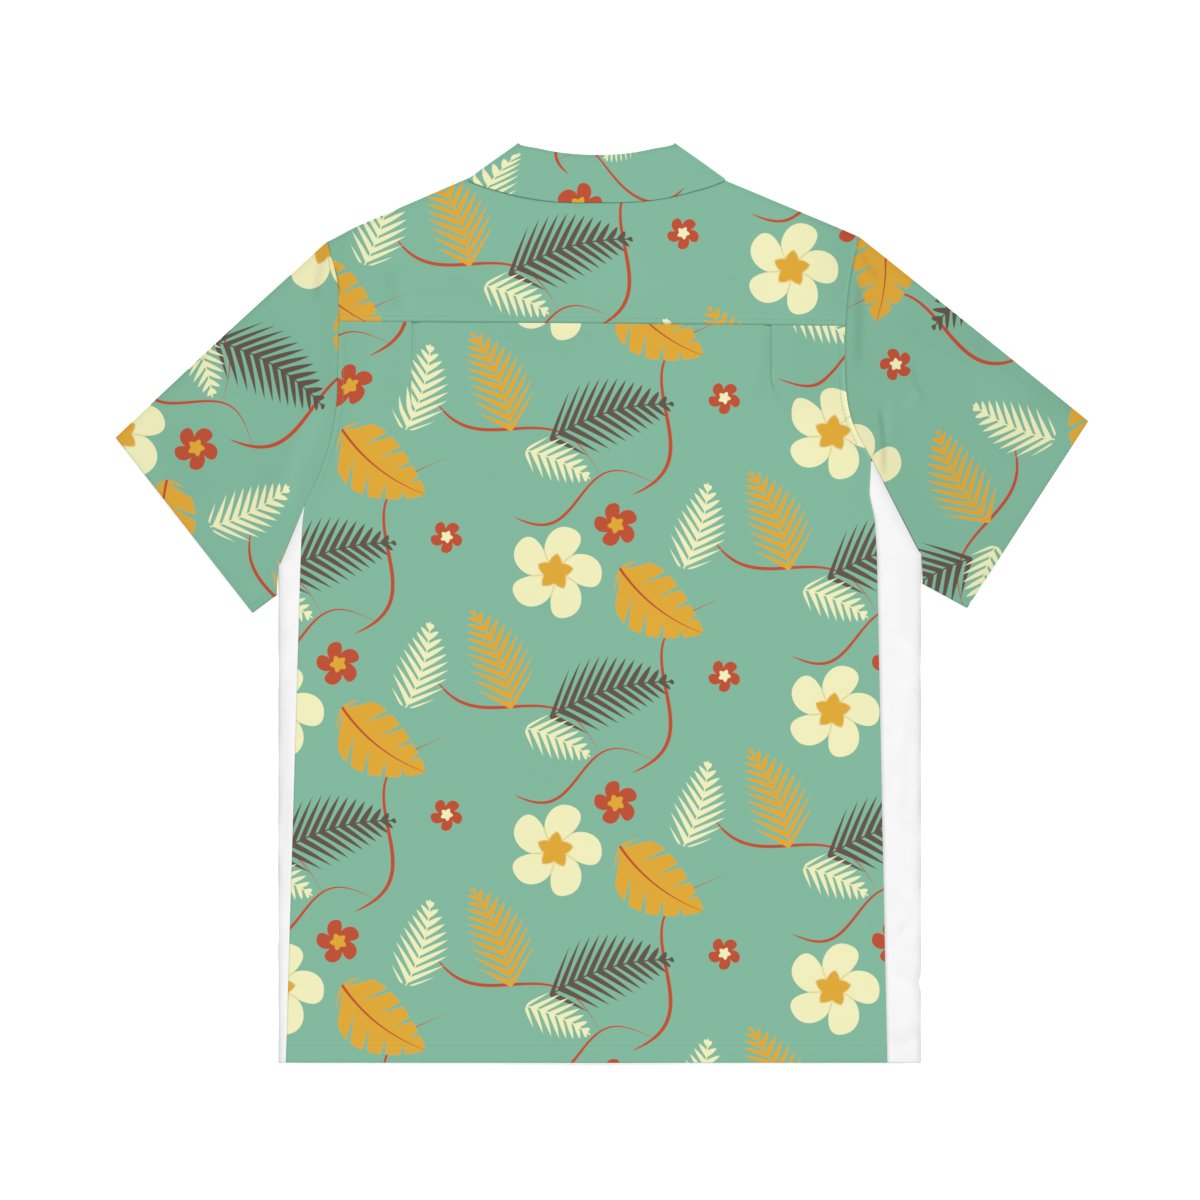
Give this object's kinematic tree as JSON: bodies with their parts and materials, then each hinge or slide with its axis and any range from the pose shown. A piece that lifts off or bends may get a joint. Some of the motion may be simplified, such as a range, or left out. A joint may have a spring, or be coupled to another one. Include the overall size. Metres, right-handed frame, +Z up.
{
  "type": "hawaiian shirt",
  "caption": "Short-sleeved camp-collar shirt laid flat with its back up: pleated back, yoke, side-wrapped fronts, folded collar, lapels and buttoned placket.",
  "frame": {"origin": "middle of the laid-out shirt's outline, on the surface that it lies on", "axes": "+X towards the wearer's right, across the shirt; +Y from the hem to the collar; +Z up from the surface, out of the shirt's back"},
  "size_m": [0.827, 0.7813, 0.0072],
  "materials": {
    "cloth": "smooth printed poplin, jade ground, matte with a faint sheen",
    "button": "polished cream plastic"
  },
  "bodies": {
    "root": {"back": "cloth", "yoke": "cloth", "front_left": "cloth", "front_right": "cloth", "sleeve_left": "cloth", "sleeve_right": "cloth", "collar": "cloth", "lapel_left": "cloth", "lapel_right": "cloth", "button_1": "button", "button_2": "button", "button_3": "button", "button_4": "button", "button_5": "button", "button_6": "button"}
  },
  "joints": []
}
